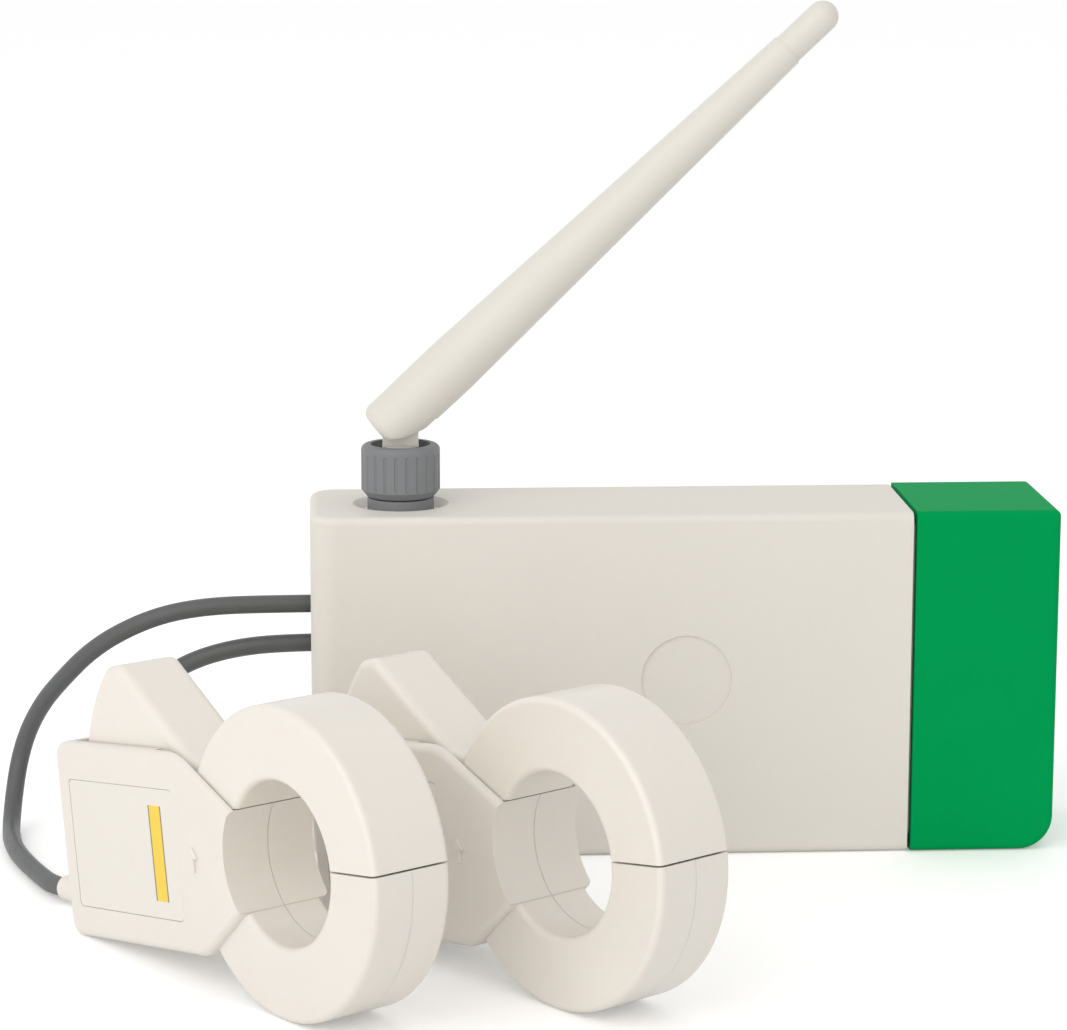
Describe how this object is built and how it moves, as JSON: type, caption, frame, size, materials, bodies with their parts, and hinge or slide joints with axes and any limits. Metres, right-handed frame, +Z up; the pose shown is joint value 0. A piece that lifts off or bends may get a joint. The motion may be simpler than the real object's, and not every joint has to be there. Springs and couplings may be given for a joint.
{
  "type": "smart energy monitor",
  "caption": "Mains energy monitor: long wall housing with a coloured end cap and a tilting antenna, and split-core current clamps on short leads.",
  "frame": {"origin": "centre of the housing's bottom face, midway along its length and depth", "axes": "+X along the housing toward its coloured end cap, -Y out of its front face, +Z up"},
  "size_m": [0.1853, 0.1334, 0.1476],
  "materials": {
    "white_shell": "fine matt moulded ABS",
    "green_cap": "satin green moulded ABS",
    "ivory_clamp": "semi-gloss moulded nylon",
    "grey_nylon": "matt grey nylon",
    "antenna_white": "satin elastomer",
    "grey_cable": "smooth grey PVC",
    "boot_white": "satin white PVC",
    "plug_black": "black nylon",
    "terminal_green": "green terminal block plastic",
    "board_green": "solder mask",
    "core_iron": "ground ferrite",
    "bobbin_black": "moulded nylon",
    "copper_wire": "enamelled winding wire",
    "steel": "plated steel",
    "brass": "turned brass",
    "screen_tin": "tinned screen",
    "capacitor_black": "capacitor sleeve",
    "label_blank": "blank matt film"
  },
  "bodies": {
    "unit": {"main_housing": "white_shell", "rear_cover": "white_shell", "end_cap": "green_cap", "rear_screws": "steel", "main_board": "board_green", "board_screws": "steel", "transformer": "bobbin_black", "capacitors": "capacitor_black", "radio_screen": "screen_tin", "sensor_sockets": "plug_black", "power_terminals": "terminal_green", "antenna_connector": "brass", "antenna_gasket": "grey_nylon", "antenna_pigtail": "bobbin_black", "ct1_body_front": "ivory_clamp", "ct1_body_rear": "ivory_clamp", "ct1_lower_core": "core_iron", "ct1_bobbin": "bobbin_black", "ct1_coil": "copper_wire", "ct1_hinge_pin": "steel", "ct1_spring": "steel", "ct1_strain_relief": "boot_white", "ct1_burden_board": "board_green", "ct1_label": "label_blank", "ct1_plug": "plug_black", "ct1_cable": "grey_cable", "ct2_body_front": "ivory_clamp", "ct2_body_rear": "ivory_clamp", "ct2_lower_core": "core_iron", "ct2_bobbin": "bobbin_black", "ct2_coil": "copper_wire", "ct2_hinge_pin": "steel", "ct2_spring": "steel", "ct2_strain_relief": "boot_white", "ct2_burden_board": "board_green", "ct2_label": "label_blank", "ct2_plug": "plug_black", "ct2_cable": "grey_cable"},
    "antenna_carrier": {"swivel_clip": "steel"},
    "antenna_nut": {"antenna_collar": "grey_nylon"},
    "antenna_swivel_post": {"antenna_swivel": "antenna_white"},
    "antenna_rod": {"antenna_arm": "antenna_white", "antenna_tip": "antenna_white", "antenna_radiator": "copper_wire", "antenna_pin": "antenna_white"},
    "ct1_moving_jaw": {"ct1_jaw": "ivory_clamp", "ct1_jaw_cover": "ivory_clamp", "ct1_upper_core": "core_iron"},
    "ct2_moving_jaw": {"ct2_jaw": "ivory_clamp", "ct2_jaw_cover": "ivory_clamp", "ct2_upper_core": "core_iron"}
  },
  "joints": [
    {"name": "antenna_lift", "type": "slide", "parent": "unit", "child": "antenna_carrier", "axis": [0, 0, 1], "range_m": [0, 0.00282]},
    {"name": "collar_turn", "type": "hinge", "parent": "antenna_carrier", "child": "antenna_nut", "pos_m": [-0.0491, 0, 0.0665], "axis": [0, 0, 1], "range_deg": [0, 1440]},
    {"name": "antenna_swivel", "type": "hinge", "parent": "antenna_carrier", "child": "antenna_swivel_post", "pos_m": [-0.0491, 0, 0.07], "axis": [0, 0, 1], "range_deg": [-180, 180]},
    {"name": "antenna_tilt", "type": "hinge", "parent": "antenna_swivel_post", "child": "antenna_rod", "pos_m": [-0.0491, 0, 0.0761], "axis": [0, 1, 0], "range_deg": [-46.7, 43.3]},
    {"name": "ct1_jaw_open", "type": "hinge", "parent": "unit", "child": "ct1_moving_jaw", "pos_m": [-0.08079, -0.07219, 0.02765], "axis": [-0.8131, -0.5821, 0], "range_deg": [0, 30], "stiffness_Nm_per_rad": 0.4, "springref_deg": -28.65},
    {"name": "ct2_jaw_open", "type": "hinge", "parent": "unit", "child": "ct2_moving_jaw", "pos_m": [-0.04001, -0.06957, 0.02765], "axis": [-0.7997, -0.6004, 0], "range_deg": [0, 30], "stiffness_Nm_per_rad": 0.4, "springref_deg": -28.65}
  ],
  "couplings": [
    {"joint": "collar_turn", "follows": "antenna_lift", "rad_per_m": 8904.7}
  ]
}
